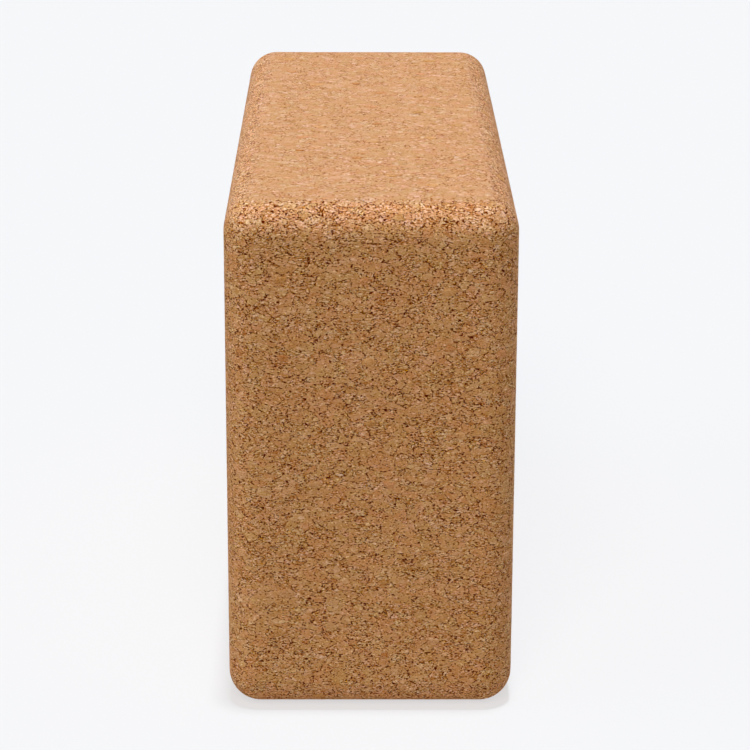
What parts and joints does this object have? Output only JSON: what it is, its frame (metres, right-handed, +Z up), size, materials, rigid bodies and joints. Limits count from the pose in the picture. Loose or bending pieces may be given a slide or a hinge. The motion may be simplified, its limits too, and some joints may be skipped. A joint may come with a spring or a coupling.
{
  "type": "yoga block",
  "caption": "Rectangular pressed-cork yoga block with rounded edges and corners, used as a firm prop on any of its faces.",
  "frame": {"origin": "middle of the narrow base face that the block stands on in the picture", "axes": "+Z up, +Y along the block's length and away from the camera, +X across its thin way"},
  "size_m": [0.083, 0.228, 0.152],
  "materials": {
    "pressed_cork": "sanded fine-grained cork, matt",
    "pale_cork": "sanded pale cork granules, matt",
    "honey_cork": "sanded honey-coloured cork granules, matt",
    "russet_cork": "sanded reddish cork granules, matt",
    "olive_cork": "sanded olive-brown cork granules, matt",
    "bark_cork": "sanded dark bark flecks, matt"
  },
  "bodies": {
    "root": {"pressed_body": "pressed_cork", "pale_granules": "pale_cork", "honey_granules": "honey_cork", "russet_granules": "russet_cork", "olive_granules": "olive_cork", "bark_granules": "bark_cork"}
  },
  "joints": []
}
